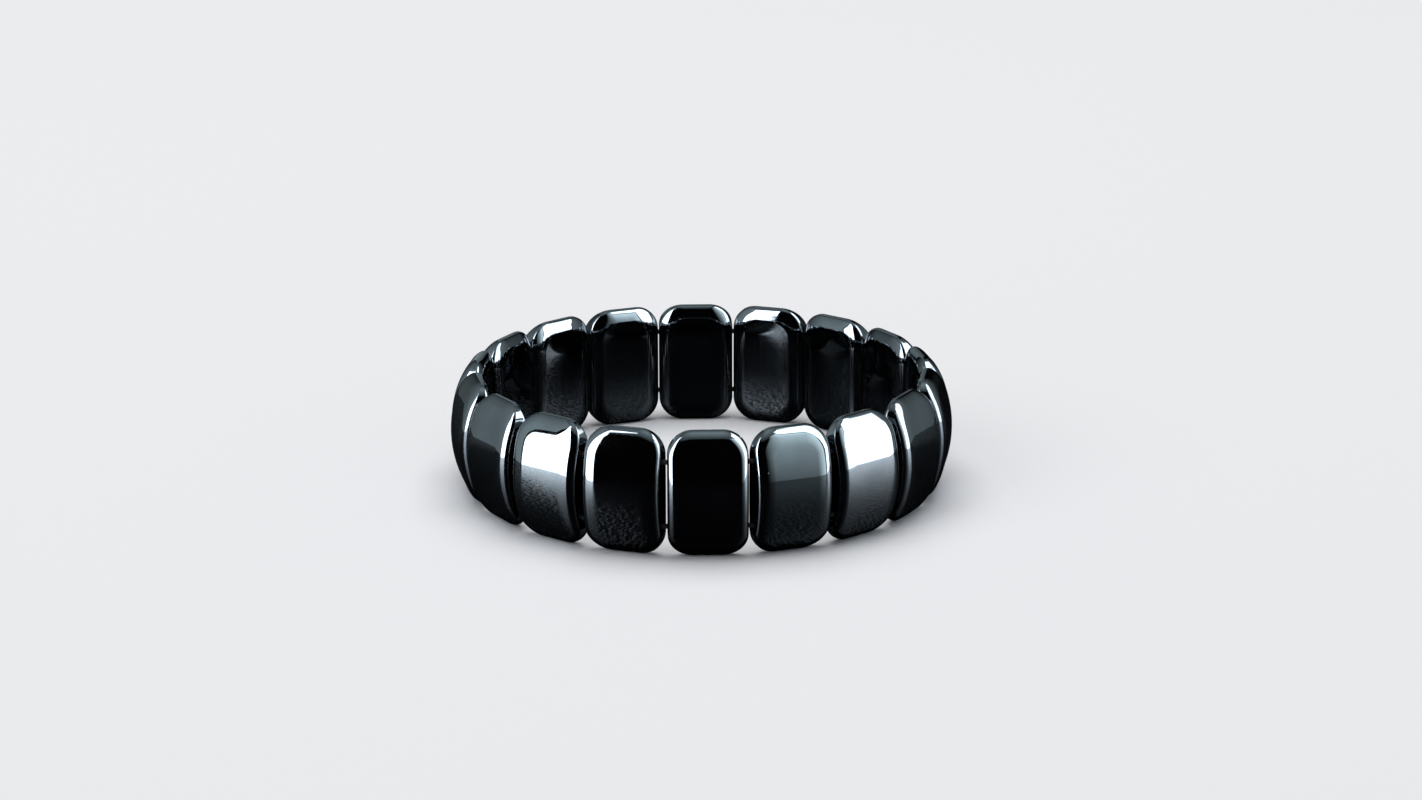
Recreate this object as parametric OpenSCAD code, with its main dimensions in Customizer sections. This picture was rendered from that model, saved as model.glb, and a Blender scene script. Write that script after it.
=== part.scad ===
// Stretch bracelet of polished hematite plates, side by side on two loops of elastic.
// It lies on its side: the ring's axis is Z, and every plate stands on its lower end at z = 0.
// Plate 01 faces the front, -Y, and the others follow round to the right.

/* [Ring] */
// Number of plates in the ring
plate_count = 18; // [16:1:18]
// Distance from the ring's axis to the middle of a plate
ring_r = 31.3; // [31.2:0.1:40]

/* [Plate] */
// Width of a plate, along the ring
plate_w = 10.4; // [9.4:0.1:10.4]
// Height of a plate, along the ring's axis
plate_h = 16.8; // [14:0.1:16.8]
// Thickness of a plate at its middle
plate_t = 4.7; // [4.7:0.1:5.1]
// Radius of the four corners, seen from the front
corner_r = 3.3; // [2.4:0.1:3.6]
// How much tighter the corners are where the outer face begins
outer_corner_loss = 2; // [1.6:0.1:2.2]
// How much tighter the corners are where the inner face begins
inner_corner_loss = 1; // [1:0.1:2]
// Radius of the arched outer face, which bends along the height
outer_arch_r = 16; // [16:0.5:60]
// Radius of the inner face, which is almost flat
inner_arch_r = 200; // [200:10:600]

/* [Elastic] */
// Diameter of the elastic cord
elastic_d = 0.7; // [0.5:0.1:0.7]
// Diameter of the two holes through each plate
hole_d = 1.4; // [1.4:0.1:1.6]
// Height between the two holes, centre to centre
hole_spacing = 8.6; // [6:0.2:9]

/* [Hidden] */
hematite = [0.24, 0.25, 0.27];
black = [0.05, 0.05, 0.06];

// Arcs that round the edges of the faces, each with the turn that it reaches, in degrees from
// the face to the side wall, and its radius
//  turn, radius
outer_edge = [
    [9, 8],
    [20, 1.2],
    [40, 1.6],
    [70, 1],
    [90, 0.3]
];
inner_edge = [
    [35, 3],
    [90, 0.6]
];

// Turns at which the facets of the edges meet
outer_turns = [0, 9, 20, 40, 70, 90];
inner_turns = [0, 18, 35, 60, 90];

// Facets of a corner, and of a long side between two corners
corner_steps = 5;
side_steps = 6;

pitch = 360 / plate_count;
half_w = plate_w / 2;
half_h = plate_h / 2;
half_t = plate_t / 2;
hole_z = hole_spacing / 2;

// How far an arc of radius r has dropped from its crown at height z
function arch_drop(r, z) = r - sqrt(r * r - z * z);

// The faces of a plate at height z from its middle, as radii from the ring's axis
function outer_face(z) = ring_r + half_t - arch_drop(outer_arch_r, z);
function inner_face(z) = ring_r - half_t + arch_drop(inner_arch_r, z);

// The holes run midway between the faces, and a round loop of elastic
// crosses their axis twice in each plate, so that it stays near the middle of the hole
hole_r = (outer_face(hole_z) + inner_face(hole_z)) / 2;
elastic_r = hole_r + half_w * half_w / (4 * hole_r);

// How far an edge has gone [across the plate, down its side] where it has turned this much
function edge_at(arcs, turn, k = 0, from = 0, at = [0, 0]) = let (
    to = min(turn, arcs[k][0]),
    next = at + arcs[k][1] * [sin(to) - sin(from), cos(from) - cos(to)]
) turn > arcs[k][0] ? edge_at(arcs, turn, k + 1, to, next) : next;

// A point [x, z] on the corner at the upper or lower right, turned by angle from level
function corner_point(inset, radius, angle) = [
    half_w - inset - radius + radius * cos(angle),
    sign(angle) * (half_h - inset - radius) + radius * sin(angle)
];

// The right side of the plate's outline, from its bottom edge to its top edge
function right_side(inset, radius) = let (straight = half_h - inset - radius) concat(
    [for (i = [corner_steps : -1 : 1]) corner_point(inset, radius, -90 * i / corner_steps)],
    [for (i = [0 : side_steps]) [half_w - inset, straight * (2 * i / side_steps - 1)]],
    [for (i = [1 : corner_steps]) corner_point(inset, radius, 90 * i / corner_steps)]
);

// The whole outline: up the right side and down the left
function outline(inset, radius) = let (right = right_side(inset, radius), last = len(right) - 1) concat(
    right,
    [for (i = [last : -1 : 0]) [-right[i].x, right[i].y]]
);

// The outline where an edge has turned this much, with its drop below the face
function edge_outline(arcs, corner_loss, turn) = let (
    whole = edge_at(arcs, 90).x,
    at = edge_at(arcs, turn),
    left = 1 - at.x / whole
) [outline(whole * left, corner_r - corner_loss * left), at.y];

function outer_loop(turn) = let (edge = edge_outline(outer_edge, outer_corner_loss, turn))
    [for (p = edge[0]) [p.x, edge[1] - outer_face(p.y), half_h + p.y]];
function inner_loop(turn) = let (edge = edge_outline(inner_edge, inner_corner_loss, turn))
    [for (p = edge[0]) [p.x, -edge[1] - inner_face(p.y), half_h + p.y]];

// One solid plate at the front of the ring, without its holes
module plate_blank() {
    loops = concat(
        [for (turn = outer_turns) outer_loop(turn)],
        [for (i = [len(inner_turns) - 1 : -1 : 0]) inner_loop(inner_turns[i])]
    );
    n = len(loops[0]);
    points = [for (loop = loops) each loop];
    bands = [
        for (k = [0 : len(loops) - 2], i = [0 : n - 1])
            let (a = k * n + i, b = k * n + (i + 1) % n)
                each [[a, b, b + n], [a, b + n, a + n]]
    ];
    outer_strips = [for (i = [0 : n / 2 - 2]) [i, n - 1 - i, n - 2 - i, i + 1]];
    back = (len(loops) - 1) * n;
    inner_strips = [for (i = [0 : n / 2 - 2]) [back + i, back + i + 1, back + n - 2 - i, back + n - 1 - i]];
    polyhedron(points, concat(bands, outer_strips, inner_strips), convexity = 2);
}

// A round hole through the plate from side to side, at height z above its middle
module string_hole(z) {
    translate([0, -hole_r, half_h + z])
        rotate([0, 90, 0])
            cylinder(d = hole_d, h = plate_w + 2, center = true, $fn = 48);
}

// Plate number i, counted from the front round to the right
module plate(i) {
    color(hematite)
        rotate([0, 0, pitch * (i - 1)])
            difference() {
                plate_blank();
                string_hole(hole_z);
                string_hole(-hole_z);
            }
}

// One closed loop of elastic at height z above the middle of the plates
module elastic(z) {
    color(black)
        translate([0, 0, half_h + z])
            rotate_extrude($fn = 144)
                translate([elastic_r, 0])
                    circle(d = elastic_d, $fn = 24);
}

module elastic_upper() {
    elastic(hole_z);
}

module elastic_lower() {
    elastic(-hole_z);
}

function plate_name(i) = str("plate_", i < 10 ? "0" : "", i);

for (i = [1 : plate_count])
    plate(i);
elastic_upper();
elastic_lower();
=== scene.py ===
"""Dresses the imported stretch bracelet: mirror-polished hematite plates on two loops of braided elastic.

Lengths are in metres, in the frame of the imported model: the ring's axis is Z, the floor is z = 0 and
plate 01 faces the front, -Y. It isn't turned, so its packed box gives a plate's width, height and faces.
"""
from math import atan2, cos, pi, radians, sin, sqrt

import bpy
from bpy.props import FloatProperty, FloatVectorProperty, IntProperty, PointerProperty
from mathutils import Matrix, Quaternion, Vector


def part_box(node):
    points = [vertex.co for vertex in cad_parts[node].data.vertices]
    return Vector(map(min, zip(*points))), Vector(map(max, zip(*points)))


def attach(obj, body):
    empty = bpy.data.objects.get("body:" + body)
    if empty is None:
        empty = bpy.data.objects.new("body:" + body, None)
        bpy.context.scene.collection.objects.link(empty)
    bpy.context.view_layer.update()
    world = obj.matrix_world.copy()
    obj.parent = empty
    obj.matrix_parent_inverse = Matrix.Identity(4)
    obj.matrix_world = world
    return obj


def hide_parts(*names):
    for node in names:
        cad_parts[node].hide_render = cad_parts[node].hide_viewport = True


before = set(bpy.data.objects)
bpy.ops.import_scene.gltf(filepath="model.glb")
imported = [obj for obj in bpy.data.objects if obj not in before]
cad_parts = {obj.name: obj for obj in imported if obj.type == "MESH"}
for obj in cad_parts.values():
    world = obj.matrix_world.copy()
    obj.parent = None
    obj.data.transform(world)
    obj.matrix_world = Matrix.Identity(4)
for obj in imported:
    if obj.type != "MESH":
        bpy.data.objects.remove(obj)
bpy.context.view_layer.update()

bl_info = {
    "name": "Hematite Stretch Bracelet",
    "version": (1, 0, 0),
    "blender": (4, 5, 0),
    "location": "View3D > Sidebar > Bracelet",
    "description": "Builds the polished plates, the braided elastic and a studio for them",
    "category": "Object",
}

MM = 0.001
PLATE_NODES = sorted(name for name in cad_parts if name.startswith("plate_"))
ELASTIC_NODES = sorted(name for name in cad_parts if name.startswith("elastic_"))
PLATE_LOW, PLATE_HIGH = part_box(PLATE_NODES[0])

# Roughness of the dust on the plates, and of the elastic where it is clean and where it has rubbed
DUST_ROUGHNESS = 0.7
CLEAN_ROUGHNESS = 0.55
RUBBED_ROUGHNESS = 0.8

# The camera's sensor, in millimetres
SENSOR_WIDTH = 36

# The floor is a disc of this radius, in metres
FLOOR_RADIUS = 3
FLOOR_STEPS = 96

# Distances of the cards from the middle of the ring, and their tints
NEAR = 120 * MM
FAR = 185 * MM
ABOVE = 210 * MM
WHITE = (0.84, 0.95, 1)
COOL = (0.77, 0.96, 1)

# Curved cards that only reflections see, one above the other between edges. An edge gives its
# elevation, the azimuth and the glow where it starts, and the azimuth and the glow where it ends,
# with angles in degrees and azimuths from the front round to the right.
#  names, distance, tint, steps, edges
CARDS = (
    (("box_left", "box_left_high", "box_left_top"), NEAR, WHITE, 12, (
        (0, -71.5, 10, -40.5, 10), (22, -71.5, 10, -41, 10), (45, -63, 10, -45, 10), (66, -61, 10, -56, 10))),
    (("box_right", "box_right_high", "box_right_top"), FAR, WHITE, 12, (
        (0, 55, 7, 86, 7), (28, 55, 7, 90, 7), (50, 55, 7, 114, 7), (70, 55, 7, 118, 7))),
    (("veil_edge",), FAR, COOL, 12, ((0, 24, 0, 35, 0.22), (62, 24, 0.02, 35, 1.5))),
    (("veil_middle",), FAR, COOL, 12, ((0, 35, 0.24, 41, 0.5), (62, 35, 1.5, 41, 2.2))),
    (("veil_bright",), FAR, COOL, 12, ((0, 41, 0.5, 52.5, 2.7), (62, 41, 2.2, 52.5, 3.5))),
    (("wall_left", "wall_left_top"), NEAR, COOL, 12, (
        (0, -154, 0, -74, 0.7), (22, -154, 0, -74, 0.78), (64, -154, 0.2, -62, 0.75))),
    (("wall_right", "wall_right_top"), FAR, COOL, 12, (
        (0, 88, 0.5, 145, 0), (28, 92, 0.55, 145, 0.02), (64, 120, 0.6, 145, 0.2))),
    (("wall_back",), FAR, COOL, 12, ((0, 166, 0.1, 202, 0.35), (62, 156, 0.3, 206, 0.6))),
    (("ceiling",), ABOVE, COOL, 24, ((58, -180, 0.08, 180, 0.08), (90, -180, 0.8, 180, 0.8))),
)

# Square lamps, which look at the middle of the ring
#  name, place, width, power in watts
LAMPS = (
    ("softbox_above", (0.0, 0.3, 1.8), 1.8, 28.0),
    ("softbox_side", (-1.7, -1.2, 1.5), 1.5, 12.0),
)


def add_object(name, data):
    """A new object in the scene, at the world's origin."""
    added = bpy.data.objects.new(name, data)
    bpy.context.scene.collection.objects.link(added)
    return added


def elastic_section(node):
    """Ring radius, cord diameter and height of one packed elastic loop."""
    low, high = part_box(node)
    cord = high.z - low.z
    return (high.x - low.x - cord) / 2, cord, (low.z + high.z) / 2


class PlateSettings(bpy.types.PropertyGroup):
    """Sizes of one plate"""
    width: FloatProperty(
        name="Width", description="Width along the ring", unit="LENGTH",
        default=PLATE_HIGH.x - PLATE_LOW.x)
    height: FloatProperty(
        name="Height", description="Height along the ring's axis", unit="LENGTH",
        default=PLATE_HIGH.z - PLATE_LOW.z)
    outer_radius: FloatProperty(
        name="Outer radius", description="From the ring's axis to the crown of the outer face",
        unit="LENGTH", default=-PLATE_LOW.y)
    inner_radius: FloatProperty(
        name="Inner radius", description="From the ring's axis to the middle of the inner face",
        unit="LENGTH", default=-PLATE_HIGH.y)
    outer_arch: FloatProperty(
        name="Outer arch", description="Radius of the outer face, which bends along the height",
        unit="LENGTH", default=16 * MM)
    inner_arch: FloatProperty(
        name="Inner arch", description="Radius of the almost flat inner face",
        unit="LENGTH", default=200 * MM)
    corner: FloatProperty(
        name="Corner radius", description="Radius of the four corners, seen from the front",
        unit="LENGTH", default=3.3 * MM)
    outer_corner_loss: FloatProperty(
        name="Outer corner loss", unit="LENGTH", default=2 * MM,
        description="How much tighter the corners are where the outer face begins")
    inner_corner_loss: FloatProperty(
        name="Inner corner loss", unit="LENGTH", default=1 * MM,
        description="How much tighter the corners are where the inner face begins")
    hole: FloatProperty(
        name="Hole diameter", description="Diameter of the two string holes", unit="LENGTH",
        default=1.4 * MM)
    hole_rim: FloatProperty(
        name="Hole rim", description="Width of the worn rim round each hole", unit="LENGTH",
        default=0.08 * MM)


class HematiteSettings(bpy.types.PropertyGroup):
    """Finish of the plates"""
    colour: FloatVectorProperty(
        name="Colour", description="Steel grey of the polished stone", subtype="COLOR",
        size=3, min=0, max=1, default=(0.235, 0.25, 0.27))
    dark_colour: FloatVectorProperty(
        name="Dark colour", description="Grey of the darker clouds in the stone", subtype="COLOR",
        size=3, min=0, max=1, default=(0.195, 0.205, 0.225))
    dust_colour: FloatVectorProperty(
        name="Dust colour", description="Grey of the few specks of dust", subtype="COLOR",
        size=3, min=0, max=1, default=(0.5, 0.5, 0.5))
    polish: FloatProperty(
        name="Polish", description="Roughness of the mirror polish", subtype="FACTOR",
        min=0, max=1, default=0.03)
    smudge: FloatProperty(
        name="Smudge", description="Roughness that handling adds in patches", subtype="FACTOR",
        min=0, max=1, default=0.025)
    edge_wear: FloatProperty(
        name="Edge wear", description="Roughness that wear adds along the edges", subtype="FACTOR",
        min=0, max=1, default=0.03)
    ripple: FloatProperty(
        name="Ripple", description="Height of the faint waves in the polished faces", unit="LENGTH",
        default=0.006 * MM)


class ElasticSettings(bpy.types.PropertyGroup):
    """Sizes and colour of the elastic"""
    strands: IntProperty(
        name="Strands", description="Strands round the braided cover", min=4, max=24, default=8)
    relief: FloatProperty(
        name="Relief", description="Height of a strand above the cord", unit="LENGTH",
        default=0.025 * MM)
    colour: FloatVectorProperty(
        name="Colour", description="Black of the braided cover", subtype="COLOR",
        size=3, min=0, max=1, default=(0.018, 0.018, 0.02))
    worn_colour: FloatVectorProperty(
        name="Worn colour", description="Grey of the cover where it has rubbed", subtype="COLOR",
        size=3, min=0, max=1, default=(0.04, 0.04, 0.043))
    lint_colour: FloatVectorProperty(
        name="Lint colour", description="Grey of the lint on the cover", subtype="COLOR",
        size=3, min=0, max=1, default=(0.3, 0.3, 0.3))
    fibre: FloatProperty(
        name="Fibre", description="Height of the fibres in a strand", unit="LENGTH",
        default=0.008 * MM)


class StudioSettings(bpy.types.PropertyGroup):
    """Floor and camera"""
    floor_colour: FloatVectorProperty(
        name="Floor", description="Pale grey of the floor", subtype="COLOR",
        size=3, min=0, max=1, default=(0.8, 0.8, 0.81))
    grain_scale: FloatProperty(
        name="Grain scale", description="Grains in a metre of the dark floor that the plates mirror",
        min=1, default=1900)
    grain_height: FloatProperty(
        name="Grain height", description="Height of the grain in that floor", unit="LENGTH",
        default=0.09 * MM)
    camera_distance: FloatProperty(
        name="Camera distance", description="From the camera to the middle of the ring",
        unit="LENGTH", default=555.3 * MM)
    camera_elevation: FloatProperty(
        name="Camera elevation", description="Angle of the camera above the floor",
        subtype="ANGLE", default=radians(16.99))
    camera_azimuth: FloatProperty(
        name="Camera azimuth", description="Angle of the camera round from the front",
        subtype="ANGLE", default=radians(-1.477))
    camera_pan: FloatProperty(
        name="Camera pan", description="Turn of the camera away from the ring's middle, sideways",
        subtype="ANGLE", default=radians(-0.134))
    camera_tilt: FloatProperty(
        name="Camera tilt", description="Turn of the camera away from the ring's middle, upward",
        subtype="ANGLE", default=radians(0.328))
    camera_roll: FloatProperty(
        name="Camera roll", description="Turn of the camera about its own axis",
        subtype="ANGLE", default=radians(-0.169))
    lens: FloatProperty(
        name="Lens", description="Focal length in millimetres on a 36 mm sensor",
        min=1, default=104.0)


# Arcs from a face to the side wall: the turn in degrees that each one reaches, and its radius
OUTER_EDGE = ((9, 8 * MM), (20, 1.2 * MM), (40, 1.6 * MM), (70, 1 * MM), (90, 0.3 * MM))
INNER_EDGE = ((35, 3 * MM), (90, 0.6 * MM))


def blend(low, high, part):
    """The value a part of the way from low to high."""
    return low + (high - low) * part


def edge_rows(arcs, steps):
    """Rows (across, down, turn) along a rounded edge, from the face to the side wall."""
    rows = [(0.0, 0.0, 0.0)]
    for reached, radius in arcs:
        across, down, start = rows[-1]
        for i in range(1, steps + 1):
            turn = blend(start, radians(reached), i / steps)
            rows.append((
                across + radius * (sin(turn) - sin(start)),
                down + radius * (cos(start) - cos(turn)),
                turn))
    return rows


def arch_drop(radius, height):
    """How far an arc has dropped from its crown at a height, and its slope there."""
    level = sqrt(radius * radius - height * height)
    return radius - level, height / level


class PlateShape:
    """Points, normals and faces of one plate at the front of the ring."""

    # Steps along an arc of an edge, a corner, the side at a hole, the side between the holes,
    # an end, the way from the outer to the inner border of the side wall, and a hole's worn rim
    EDGE_STEPS = 5
    CORNER_STEPS = 14
    HOLE_STEPS = 6
    SIDE_STEPS = 10
    END_STEPS = 4
    WALL_STEPS = 6
    RIM_STEPS = 3

    def __init__(self, sizes, hole_y, hole_z):
        self.sizes = sizes
        self.middle = sizes.height / 2
        self.core_x = sizes.width / 2 - sizes.corner
        self.core_z = sizes.height / 2 - sizes.corner
        self.hole_y = hole_y
        self.hole_z = hole_z
        self.points = []
        self.normals = []
        self.edges = []
        self.faces = []
        self.build()

    def add(self, point, normal, edge=0.0):
        """Adds a point with its normal and its share of the edge's wear, and returns its number."""
        self.points.append(point)
        self.normals.append(Vector(normal).normalized())
        self.edges.append(edge)
        return len(self.points) - 1

    def side_heights(self):
        """Heights of the rows up the straight side, with a closer zone at each hole."""
        top = self.core_z
        zone = 2 * (top - self.hole_z)
        low = [-top + zone * i / self.HOLE_STEPS for i in range(self.HOLE_STEPS)]
        span = 2 * (top - zone)
        middle = [-top + zone + span * i / self.SIDE_STEPS for i in range(self.SIDE_STEPS)]
        high = [top - zone + zone * i / self.HOLE_STEPS for i in range(self.HOLE_STEPS + 1)]
        return low + middle + high

    def stations(self):
        """Rows (core x, core z, direction x, direction z) round the outline.

        The outline lies in that direction from the core, at the distance of a corner's radius.
        """
        steps = self.CORNER_STEPS
        right = [(self.core_x, -self.core_z, sin(a), -cos(a))
                 for a in (pi / 2 * i / steps for i in range(steps))]
        self.straight_start = len(right)
        right += [(self.core_x, z, 1.0, 0.0) for z in self.side_heights()]
        right += [(self.core_x, self.core_z, cos(a), sin(a))
                  for a in (pi / 2 * i / steps for i in range(1, steps + 1))]
        across = [self.core_x * (1 - 2 * i / self.END_STEPS) for i in range(1, self.END_STEPS)]
        top = [(x, self.core_z, 0.0, 1.0) for x in across]
        left = [(-x, z, -dx, dz) for x, z, dx, dz in reversed(right)]
        bottom = [(-x, -self.core_z, 0.0, -1.0) for x in across]
        self.side_count = len(right)
        return right + top + left + bottom

    def rounded_edge(self, radius, arch, outward, loss, arcs):
        """The loops round the edge of the outer (1) or inner (-1) face, from the face to the side wall."""
        rows = edge_rows(arcs, self.EDGE_STEPS)
        inset = rows[-1][0]
        return [self.loop(radius, arch, outward, loss, inset, *row) for row in rows]

    def loop(self, radius, arch, outward, loss, inset, across, down, turn):
        """One loop round the plate, where its edge has gone this far across and down and turned this much."""
        part = 1 - across / inset
        corner = self.sizes.corner - loss * part
        loop = []
        for core_x, core_z, dx, dz in self.round:
            shift_x = (inset - loss) * core_x / self.core_x
            shift_z = (inset - loss) * core_z / self.core_z
            x = core_x - shift_x * part + corner * dx
            z = core_z - shift_z * part + corner * dz
            fall, slope = arch_drop(arch, z)
            y = -(radius - outward * (down + fall))
            over_x = -(shift_x + loss * dx) * cos(turn) / inset
            over_z = -(shift_z + loss * dz) * cos(turn) / inset
            over = Vector((over_x, slope * over_z - sin(turn), over_z))
            normal = Vector((-dz, slope * dx, dx)).cross(over)
            normal.y *= outward
            loop.append(self.add((x, y, z + self.middle), normal, sin(2 * turn)))
        return loop

    def band(self, first, second, skip=()):
        """Faces between two closed loops, apart from the cells to skip."""
        count = len(first)
        for j in range(count):
            if j not in skip:
                k = (j + 1) % count
                self.faces.append((first[j], first[k], second[k], second[j]))

    def face_fill(self, loop, radius, arch, outward):
        """Fills a face inside its innermost loop, in rows from side to side."""
        side = self.side_count
        right = loop[:side]
        top = loop[side:side + self.END_STEPS - 1]
        left = loop[side + self.END_STEPS - 1:2 * side + self.END_STEPS - 1][::-1]
        bottom = loop[2 * side + self.END_STEPS - 1:][::-1]
        rows = [[right[0]] + bottom + [left[0]]]
        for i in range(1, side - 1):
            x, y, z = self.points[right[i]]
            normal = self.normals[right[i]]
            flat = (0.0, normal.y, normal.z)
            inner = [self.add((x * (1 - 2 * k / self.END_STEPS), y, z), flat)
                     for k in range(1, self.END_STEPS)]
            rows.append([right[i]] + inner + [left[i]])
        rows.append([right[-1]] + top + [left[-1]])
        for low, high in zip(rows, rows[1:]):
            for k in range(self.END_STEPS):
                quad = (low[k], high[k], high[k + 1], low[k + 1])
                self.faces.append(quad if outward > 0 else quad[::-1])

    def build(self):
        sizes = self.sizes
        self.round = self.stations()
        outer = self.rounded_edge(
            sizes.outer_radius, sizes.outer_arch, 1, sizes.outer_corner_loss, OUTER_EDGE)
        inner = self.rounded_edge(
            sizes.inner_radius, sizes.inner_arch, -1, sizes.inner_corner_loss, INNER_EDGE)
        self.face_fill(outer[0], sizes.outer_radius, sizes.outer_arch, 1)
        self.face_fill(inner[0], sizes.inner_radius, sizes.inner_arch, -1)
        for first, second in zip(outer, outer[1:]):
            self.band(second, first)
        for first, second in zip(inner, inner[1:]):
            self.band(first, second)
        self.wall(outer[-1], inner[-1])

    def wall(self, outer, inner):
        """The side wall, in loops from its outer to its inner border, with the string holes."""
        loops = [outer]
        for k in range(1, self.WALL_STEPS):
            part = k / self.WALL_STEPS
            loop = []
            for a, b, (_, _, dx, dz) in zip(outer, inner, self.round):
                point = Vector(self.points[a]).lerp(Vector(self.points[b]), part)
                loop.append(self.add(point[:], (dx, 0.0, dz)))
            loops.append(loop)
        loops.append(inner)
        start = self.straight_start
        low = range(start, start + self.HOLE_STEPS)
        start += self.HOLE_STEPS + self.SIDE_STEPS
        high = range(start, start + self.HOLE_STEPS)
        pairs = [(low, self.facing(low)), (high, self.facing(high))]
        skip = set(j for pair in pairs for cells in pair for j in cells)
        for first, second in zip(loops, loops[1:]):
            self.band(second, first, skip)
        for (right, left), level in zip(pairs, (-self.hole_z, self.hole_z)):
            self.bore(self.hole_mouth(loops, right, 1, level), self.hole_mouth(loops, left, -1, level))

    def facing(self, cells):
        """The cells of the left side that are level with these cells of the right side."""
        last = 2 * self.side_count + self.END_STEPS - 2
        return range(last - cells.stop, last - cells.start)

    def patch_border(self, loops, cells):
        """The points round a hole's square patch of the wall, in order."""
        first, last = cells.start, cells.stop
        outer_side = loops[0][first:last + 1]
        inner_side = loops[-1][first:last + 1][::-1]
        far_end = [loop[last] for loop in loops[1:-1]]
        near_end = [loop[first] for loop in loops[-2:0:-1]]
        return outer_side + far_end + inner_side + near_end

    def hole_mouth(self, loops, cells, side, level):
        """Joins the patch's border to the hole's worn rim; returns the rim's inner ring and its angles."""
        sizes = self.sizes
        border = self.patch_border(loops, cells)
        middle_z = self.middle + level
        angles = [atan2(y - self.hole_y, z - middle_z) for _, y, z in (self.points[i] for i in border)]
        rings = [border]
        for i in range(self.RIM_STEPS + 1):
            lean = pi / 2 * i / self.RIM_STEPS
            reach = sizes.hole / 2 + sizes.hole_rim * (1 - sin(lean))
            x = side * (sizes.width / 2 - sizes.hole_rim * (1 - cos(lean)))
            rings.append([
                self.add((x, self.hole_y + reach * sin(angle), middle_z + reach * cos(angle)),
                         (side * cos(lean), -sin(angle) * sin(lean), -cos(angle) * sin(lean)))
                for angle in angles])
        for first, second in zip(rings, rings[1:]):
            self.band(second, first)
        return rings[-1], angles

    def bore(self, right_mouth, left_mouth):
        """The straight bore between the two mouths of a hole."""
        right, right_angles = right_mouth
        left, left_angles = left_mouth
        partners = []
        for angle in right_angles:
            gaps = [abs((other - angle + pi) % (2 * pi) - pi) for other in left_angles]
            partners.append(left[gaps.index(min(gaps))])
        self.band(partners, right)


class BRACELET_OT_plates(bpy.types.Operator):
    """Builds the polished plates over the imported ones"""
    bl_idname = "bracelet.plates"
    bl_label = "Plates"

    def execute(self, context):
        sizes = context.scene.bracelet_plate
        # The upper elastic gives the height of the upper holes
        _, _, height = elastic_section(ELASTIC_NODES[-1])
        hole_z = height - sizes.height / 2
        fall, _ = arch_drop(sizes.outer_arch, hole_z)
        rise, _ = arch_drop(sizes.inner_arch, hole_z)
        hole_y = -(sizes.outer_radius - fall + sizes.inner_radius + rise) / 2
        shape = PlateShape(sizes, hole_y, hole_z)
        material = hematite_material(context.scene.bracelet_hematite)
        for i, node in enumerate(PLATE_NODES):
            turn = Matrix.Rotation(2 * pi * i / len(PLATE_NODES), 3, "Z")
            mesh = bpy.data.meshes.new(node + "_polished")
            mesh.from_pydata([turn @ Vector(p) for p in shape.points], [], shape.faces)
            mesh.polygons.foreach_set("use_smooth", [True] * len(mesh.polygons))
            wear = mesh.attributes.new("wear", "FLOAT", "POINT")
            wear.data.foreach_set("value", shape.edges)
            mesh.update()
            mesh.validate()
            mesh.normals_split_custom_set_from_vertices([turn @ n for n in shape.normals])
            mesh.materials.append(material)
            plate = add_object(node + "_polished", mesh)
            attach(plate, "root")
            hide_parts(node)
        return {"FINISHED"}


class BRACELET_OT_elastics(bpy.types.Operator):
    """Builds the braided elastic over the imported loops"""
    bl_idname = "bracelet.elastics"
    bl_label = "Elastics"

    def execute(self, context):
        settings = context.scene.bracelet_elastic
        material = elastic_material(settings)
        for node in ELASTIC_NODES:
            radius, cord, height = elastic_section(node)
            mesh = braided_ring(node + "_braided", radius, cord / 2, height, settings)
            mesh.materials.append(material)
            elastic = add_object(node + "_braided", mesh)
            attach(elastic, "root")
            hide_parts(node)
        return {"FINISHED"}


def braided_ring(name, radius, cord_radius, height, settings):
    """A closed ring of cord whose cover shows two sets of strands crossing."""
    pairs = 60
    steps_a_pair = 12
    round_steps = 16
    long_steps = pairs * steps_a_pair
    points = []
    faces = []
    for i in range(long_steps):
        along = 2 * pi * i / long_steps
        for j in range(round_steps):
            around = 2 * pi * j / round_steps
            one = sin(settings.strands / 2 * around + pairs * along)
            other = sin(settings.strands / 2 * around - pairs * along)
            reach = cord_radius - settings.relief * (1 - max(one, other)) / 2
            out = radius + reach * cos(around)
            points.append((out * sin(along), -out * cos(along), height + reach * sin(around)))
            a = i * round_steps + j
            b = i * round_steps + (j + 1) % round_steps
            ahead = round_steps if i + 1 < long_steps else round_steps - long_steps * round_steps
            faces.append((a, a + ahead, b + ahead, b))
    mesh = bpy.data.meshes.new(name)
    mesh.from_pydata(points, [], faces)
    mesh.polygons.foreach_set("use_smooth", [True] * len(mesh.polygons))
    mesh.update()
    return mesh


# A Mix node's sockets share their names, so they go by number: its two inputs and its result
COLOUR_LOW = 6
COLOUR_HIGH = 7
COLOUR_RESULT = 2
NUMBER_LOW = 2
NUMBER_HIGH = 3
NUMBER_RESULT = 0


def set_inputs(node, values):
    """Sets a node's sockets from their names and values."""
    for name, value in values.items():
        node.inputs[name].default_value = value


def new_material(name):
    material = bpy.data.materials.new(name)
    material.use_nodes = True
    tree = material.node_tree
    shader = tree.nodes["Principled BSDF"]
    return material, tree, shader


def new_group(name, inputs, output, kind):
    """A shader node group with float inputs (name, default) and one output."""
    group = bpy.data.node_groups.new(name, "ShaderNodeTree")
    for label, value in inputs:
        socket = group.interface.new_socket(label, in_out="INPUT", socket_type="NodeSocketFloat")
        socket.default_value = value
    group.interface.new_socket(output, in_out="OUTPUT", socket_type=kind)
    start = group.nodes.new("NodeGroupInput")
    end = group.nodes.new("NodeGroupOutput")
    place = group.nodes.new("ShaderNodeTexCoord").outputs["Object"]
    return group, start.outputs, end.inputs[output], place


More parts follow.
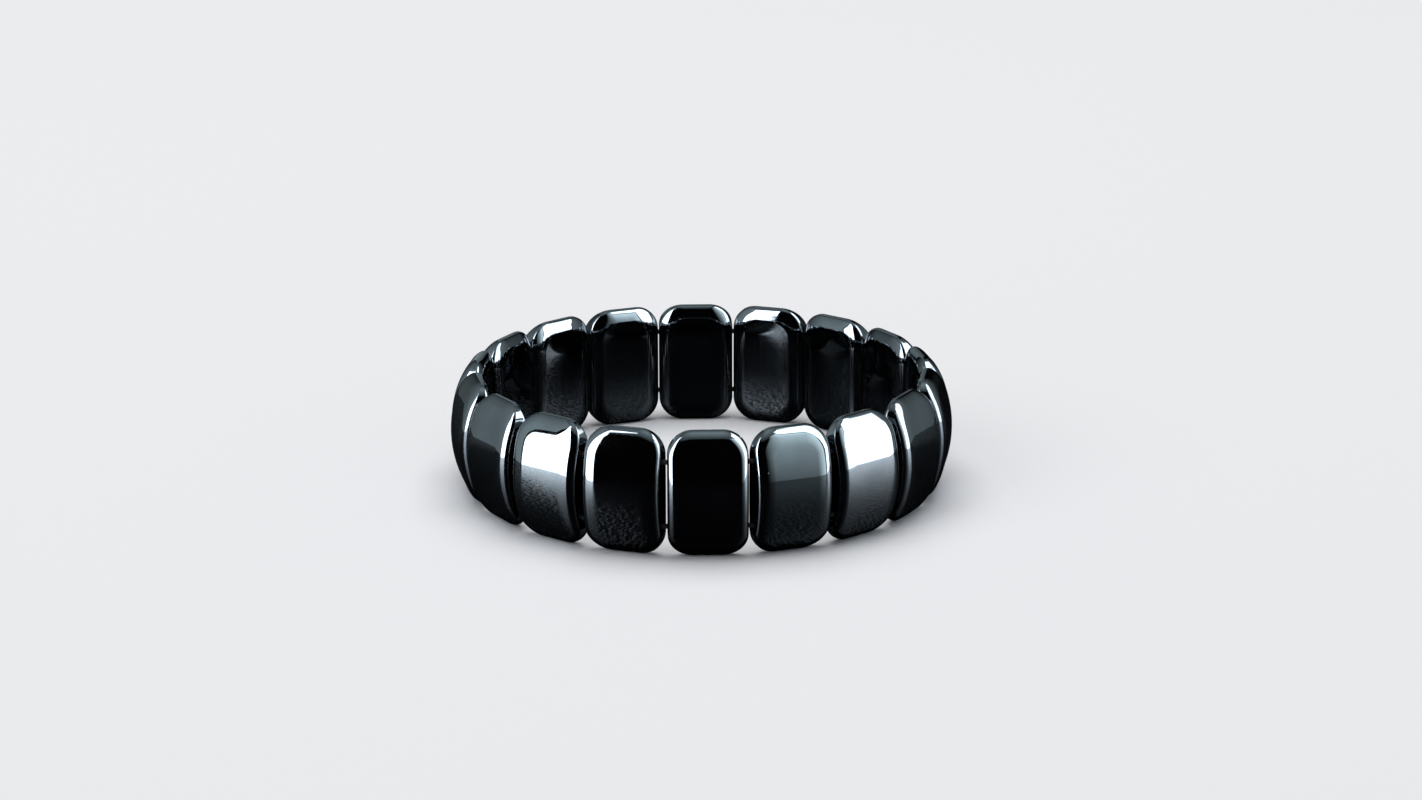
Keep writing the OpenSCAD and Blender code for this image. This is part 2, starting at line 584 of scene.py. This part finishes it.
def clouds_group():
    """Soft patches, 0 to 1."""
    group, given, result, place = new_group(
        "soft_patches", (("Scale", 150), ("Detail", 2)), "Mask", "NodeSocketFloat")
    noise = group.nodes.new("ShaderNodeTexNoise")
    spread = group.nodes.new("ShaderNodeMapRange")
    set_inputs(spread, {"From Min": 0.35, "From Max": 0.65})
    group.links.new(place, noise.inputs["Vector"])
    group.links.new(given["Scale"], noise.inputs["Scale"])
    group.links.new(given["Detail"], noise.inputs["Detail"])
    group.links.new(noise.outputs["Fac"], spread.inputs["Value"])
    group.links.new(spread.outputs["Result"], result)
    return group


def specks_group():
    """Small round specks in a few of the cells, 0 or 1."""
    group, given, result, place = new_group(
        "dust_specks", (("Scale", 600), ("Size", 0.05), ("Share", 0.05)), "Mask", "NodeSocketFloat")
    cells = group.nodes.new("ShaderNodeTexVoronoi")
    inside = group.nodes.new("ShaderNodeMath")
    inside.operation = "LESS_THAN"
    chosen = group.nodes.new("ShaderNodeMath")
    chosen.operation = "LESS_THAN"
    both = group.nodes.new("ShaderNodeMath")
    both.operation = "MULTIPLY"
    draw = group.nodes.new("ShaderNodeSeparateColor")
    group.links.new(place, cells.inputs["Vector"])
    group.links.new(given["Scale"], cells.inputs["Scale"])
    group.links.new(cells.outputs["Distance"], inside.inputs[0])
    group.links.new(given["Size"], inside.inputs[1])
    group.links.new(cells.outputs["Color"], draw.inputs["Color"])
    group.links.new(draw.outputs["Red"], chosen.inputs[0])
    group.links.new(given["Share"], chosen.inputs[1])
    group.links.new(inside.outputs["Value"], both.inputs[0])
    group.links.new(chosen.outputs["Value"], both.inputs[1])
    group.links.new(both.outputs["Value"], result)
    return group


def ripple_group():
    """A normal that wavers as if the surface rose and fell by the given height."""
    group, given, result, place = new_group(
        "ripples", (("Scale", 300), ("Height", 0.005 * MM)), "Normal", "NodeSocketVector")
    noise = group.nodes.new("ShaderNodeTexNoise")
    noise.inputs["Detail"].default_value = 1
    bump = group.nodes.new("ShaderNodeBump")
    group.links.new(place, noise.inputs["Vector"])
    group.links.new(given["Scale"], noise.inputs["Scale"])
    group.links.new(noise.outputs["Fac"], bump.inputs["Height"])
    group.links.new(given["Height"], bump.inputs["Distance"])
    group.links.new(bump.outputs["Normal"], result)
    return group


def use_group(tree, groups, name, **values):
    """Adds a shared group to a material, and returns its output."""
    node = tree.nodes.new("ShaderNodeGroup")
    node.node_tree = groups[name]
    set_inputs(node, values)
    return node.outputs[0]


def shared_groups():
    makers = {"soft_patches": clouds_group, "dust_specks": specks_group, "ripples": ripple_group}
    return {name: bpy.data.node_groups.get(name) or make() for name, make in makers.items()}


def mix_colours(tree, mask, low, high):
    """A colour that goes from low to high with a mask; low may be a colour or an output."""
    mix = tree.nodes.new("ShaderNodeMix")
    mix.data_type = "RGBA"
    tree.links.new(mask, mix.inputs["Factor"])
    if isinstance(low, bpy.types.NodeSocket):
        tree.links.new(low, mix.inputs[COLOUR_LOW])
    else:
        mix.inputs[COLOUR_LOW].default_value = (*low, 1)
    mix.inputs[COLOUR_HIGH].default_value = (*high, 1)
    return mix.outputs[COLOUR_RESULT]


def weigh(tree, mask, low, high):
    """A value that goes from low to high with a mask; low may be a number or an output."""
    mix = tree.nodes.new("ShaderNodeMix")
    tree.links.new(mask, mix.inputs["Factor"])
    if isinstance(low, bpy.types.NodeSocket):
        tree.links.new(low, mix.inputs[NUMBER_LOW])
    else:
        mix.inputs[NUMBER_LOW].default_value = low
    mix.inputs[NUMBER_HIGH].default_value = high
    return mix.outputs[NUMBER_RESULT]


def hematite_material(settings):
    """Dark steel-grey stone, cloudy inside, with a mirror polish that handling has dulled a little."""
    material, tree, shader = new_material("polished_hematite")
    groups = shared_groups()
    stone = use_group(tree, groups, "soft_patches", Scale=180, Detail=3)
    hands = use_group(tree, groups, "soft_patches", Scale=420, Detail=1)
    dust = use_group(tree, groups, "dust_specks", Scale=520, Size=0.035, Share=0.05)
    ripples = use_group(tree, groups, "ripples", Scale=260, Height=settings.ripple)
    edges = tree.nodes.new("ShaderNodeAttribute")
    edges.attribute_name = "wear"
    colour = mix_colours(tree, stone, settings.dark_colour, settings.colour)
    polish = weigh(tree, hands, settings.polish, settings.polish + settings.smudge)
    polish = weigh(tree, edges.outputs["Fac"], polish, settings.polish + settings.edge_wear)
    tree.links.new(mix_colours(tree, dust, colour, settings.dust_colour), shader.inputs["Base Color"])
    tree.links.new(weigh(tree, dust, polish, DUST_ROUGHNESS), shader.inputs["Roughness"])
    tree.links.new(ripples, shader.inputs["Normal"])
    shader.inputs["Metallic"].default_value = 1
    return material


def elastic_material(settings):
    """Black braided cover with a little lint."""
    material, tree, shader = new_material("black_elastic")
    groups = shared_groups()
    worn = use_group(tree, groups, "soft_patches", Scale=900, Detail=2)
    lint = use_group(tree, groups, "dust_specks", Scale=4000, Size=0.12, Share=0.06)
    fibres = use_group(tree, groups, "ripples", Scale=9000, Height=settings.fibre)
    colour = mix_colours(tree, worn, settings.colour, settings.worn_colour)
    tree.links.new(mix_colours(tree, lint, colour, settings.lint_colour), shader.inputs["Base Color"])
    tree.links.new(weigh(tree, worn, CLEAN_ROUGHNESS, RUBBED_ROUGHNESS), shader.inputs["Roughness"])
    tree.links.new(fibres, shader.inputs["Normal"])
    return material


def glow_material(name, colour):
    """Emission whose strength is the card's own glow attribute."""
    material = bpy.data.materials.new(name)
    material.use_nodes = True
    tree = material.node_tree
    tree.nodes.clear()
    strength = tree.nodes.new("ShaderNodeAttribute")
    strength.attribute_name = "glow"
    glow = tree.nodes.new("ShaderNodeEmission")
    glow.inputs["Color"].default_value = (*colour, 1)
    out = tree.nodes.new("ShaderNodeOutputMaterial")
    tree.links.new(strength.outputs["Fac"], glow.inputs["Strength"])
    tree.links.new(glow.outputs["Emission"], out.inputs["Surface"])
    material.cycles.emission_sampling = "NONE"
    return material


def along_edge(edge, part):
    """Elevation, azimuth and glow at a part of the way along the edge of a card."""
    elevation, start, start_glow, end, end_glow = edge
    return elevation, blend(start, end, part), blend(start_glow, end_glow, part)


def dome_card(name, distance, low, high, colour, steps):
    """A curved card round the ring, between a lower and an upper edge given as in CARDS."""
    points = []
    strengths = []
    for i in range(steps + 1):
        ends = list(zip(along_edge(low, i / steps), along_edge(high, i / steps)))
        for j in range(steps + 1):
            elevation, azimuth, glow = (blend(lower, upper, j / steps) for lower, upper in ends)
            level = distance * cos(radians(elevation))
            points.append((
                level * sin(radians(azimuth)),
                -level * cos(radians(azimuth)),
                distance * sin(radians(elevation))))
            strengths.append(glow)
    row = steps + 1
    faces = [(a, a + 1, a + row + 1, a + row)
             for a in (i * row + j for i in range(steps) for j in range(steps))]
    mesh = bpy.data.meshes.new(name)
    mesh.from_pydata(points, [], faces)
    attribute = mesh.attributes.new("glow", "FLOAT", "POINT")
    attribute.data.foreach_set("value", strengths)
    mesh.materials.append(glow_material(name, colour))
    card = add_object(name, mesh)
    card.visible_camera = False
    card.visible_diffuse = False
    card.visible_transmission = False
    card.visible_volume_scatter = False
    card.visible_shadow = False


class BRACELET_OT_studio(bpy.types.Operator):
    """Sets up the air, the floor, the cards, the lamps and the camera"""
    bl_idname = "bracelet.studio"
    bl_label = "Studio"

    def execute(self, context):
        settings = context.scene.bracelet_studio
        context.scene.view_settings.view_transform = "Standard"
        build_world(context.scene)
        build_floor(settings)
        build_cards()
        build_lamps()
        build_camera(context.scene, settings)
        return {"FINISHED"}


def split_by_ray(tree, seen, mirrored, target):
    """Links one shader to the target, and another one for the rays of reflections."""
    mix = tree.nodes.new("ShaderNodeMixShader")
    path = tree.nodes.new("ShaderNodeLightPath")
    chosen, first, second = mix.inputs
    tree.links.new(path.outputs["Is Glossy Ray"], chosen)
    tree.links.new(seen, first)
    tree.links.new(mirrored, second)
    tree.links.new(mix.outputs["Shader"], target)


def build_world(scene):
    """Faint bluish light from all round, which mirrors show as almost black."""
    world = bpy.data.worlds.new("studio_air")
    scene.world = world
    world.use_nodes = True
    tree = world.node_tree
    air = tree.nodes["Background"]
    set_inputs(air, {"Color": (0.94, 0.96, 1, 1), "Strength": 0.32})
    dark = tree.nodes.new("ShaderNodeBackground")
    set_inputs(dark, {"Color": (0.003, 0.003, 0.0035, 1)})
    split_by_ray(
        tree, air.outputs["Background"], dark.outputs["Background"],
        tree.nodes["World Output"].inputs["Surface"])


def build_floor(settings):
    """A pale floor, which the plates mirror as a dark and finely grained one."""
    material, tree, pale = new_material("pale_floor")
    set_inputs(pale, {
        "Base Color": (*settings.floor_colour, 1), "Roughness": 0.8, "Specular IOR Level": 0})
    mirrored = tree.nodes.new("ShaderNodeBsdfPrincipled")
    set_inputs(mirrored, {
        "Base Color": (0.004, 0.004, 0.005, 1), "Specular IOR Level": 0,
        "Coat IOR": 1.2, "Coat Roughness": 0.25})
    place = tree.nodes.new("ShaderNodeTexCoord").outputs["Object"]
    cells = tree.nodes.new("ShaderNodeTexVoronoi")
    cells.feature = "SMOOTH_F1"
    cells.inputs["Scale"].default_value = settings.grain_scale
    grain = tree.nodes.new("ShaderNodeBump")
    grain.inputs["Distance"].default_value = settings.grain_height
    tree.links.new(place, cells.inputs["Vector"])
    tree.links.new(cells.outputs["Distance"], grain.inputs["Height"])
    tree.links.new(grain.outputs["Normal"], mirrored.inputs["Coat Normal"])
    # The gloss grows from the middle of the ring to the front and to the back
    axes = tree.nodes.new("ShaderNodeSeparateXYZ")
    away = tree.nodes.new("ShaderNodeMath")
    away.operation = "ABSOLUTE"
    gloss = tree.nodes.new("ShaderNodeMapRange")
    set_inputs(gloss, {"From Min": 8 * MM, "From Max": 20 * MM, "To Min": 0.35, "To Max": 1})
    tree.links.new(place, axes.inputs["Vector"])
    tree.links.new(axes.outputs["Y"], away.inputs[0])
    tree.links.new(away.outputs["Value"], gloss.inputs["Value"])
    tree.links.new(gloss.outputs["Result"], mirrored.inputs["Coat Weight"])
    split_by_ray(
        tree, pale.outputs["BSDF"], mirrored.outputs["BSDF"],
        tree.nodes["Material Output"].inputs["Surface"])
    mesh = bpy.data.meshes.new("floor")
    turns = [2 * pi * i / FLOOR_STEPS for i in range(FLOOR_STEPS)]
    rim = [(FLOOR_RADIUS * sin(turn), -FLOOR_RADIUS * cos(turn), 0.0) for turn in turns]
    mesh.from_pydata(rim, [], [tuple(range(FLOOR_STEPS))])
    mesh.materials.append(material)
    floor = add_object("floor", mesh)


def build_cards():
    for names, distance, tint, steps, edges in CARDS:
        for name, low, high in zip(names, edges, edges[1:]):
            dome_card(name, distance, low, high, tint, steps)


def build_lamps():
    for name, place, width, power in LAMPS:
        light = bpy.data.lights.new(name, "AREA")
        light.shape = "SQUARE"
        light.size = width
        light.energy = power
        lamp = add_object(name, light)
        lamp.location = place
        lamp.rotation_euler = (-Vector(place)).to_track_quat("-Z", "Y").to_euler()
        lamp.visible_glossy = False
        lamp.visible_camera = False


def build_camera(scene, settings):
    """The photograph's camera: it looks past the ring's middle, which stands left of and below centre."""
    middle = Vector((0, 0, (PLATE_LOW.z + PLATE_HIGH.z) / 2))
    level = settings.camera_distance * cos(settings.camera_elevation)
    place = middle + Vector((
        level * sin(settings.camera_azimuth),
        -level * cos(settings.camera_azimuth),
        settings.camera_distance * sin(settings.camera_elevation)))
    aim = (middle - place).to_track_quat("-Z", "Y")
    pan = Quaternion((0, 1, 0), settings.camera_pan)
    tilt = Quaternion((1, 0, 0), settings.camera_tilt)
    roll = Quaternion((0, 0, 1), settings.camera_roll)
    data = bpy.data.cameras.new("camera")
    data.sensor_width = SENSOR_WIDTH
    data.lens = settings.lens
    data.clip_start = 10 * MM
    camera = add_object("camera", data)
    camera.rotation_mode = "QUATERNION"
    camera.rotation_quaternion = aim @ pan @ tilt @ roll
    camera.location = place
    scene.camera = camera


class BRACELET_PT_panel(bpy.types.Panel):
    """Lists the bracelet's operators and settings"""
    bl_idname = "BRACELET_PT_panel"
    bl_label = "Stretch Bracelet"
    bl_space_type = "VIEW_3D"
    bl_region_type = "UI"
    bl_category = "Bracelet"

    def draw(self, context):
        for operator in OPERATORS:
            self.layout.operator(operator.bl_idname)
        for name in SETTINGS:
            box = self.layout.box()
            group = getattr(context.scene, name)
            for key in group.bl_rna.properties.keys():
                if key not in ("rna_type", "name"):
                    box.prop(group, key)


SETTINGS = {
    "bracelet_plate": PlateSettings,
    "bracelet_hematite": HematiteSettings,
    "bracelet_elastic": ElasticSettings,
    "bracelet_studio": StudioSettings,
}
OPERATORS = (BRACELET_OT_plates, BRACELET_OT_elastics, BRACELET_OT_studio)
CLASSES = (*SETTINGS.values(), *OPERATORS, BRACELET_PT_panel)


def register():
    for cls in CLASSES:
        bpy.utils.register_class(cls)
    for name, group in SETTINGS.items():
        setattr(bpy.types.Scene, name, PointerProperty(type=group))


def unregister():
    for name in SETTINGS:
        delattr(bpy.types.Scene, name)
    for cls in reversed(CLASSES):
        bpy.utils.unregister_class(cls)


def main():
    register()
    bpy.ops.bracelet.studio()
    bpy.ops.bracelet.plates()
    bpy.ops.bracelet.elastics()


if __name__ == "__main__":
    main()
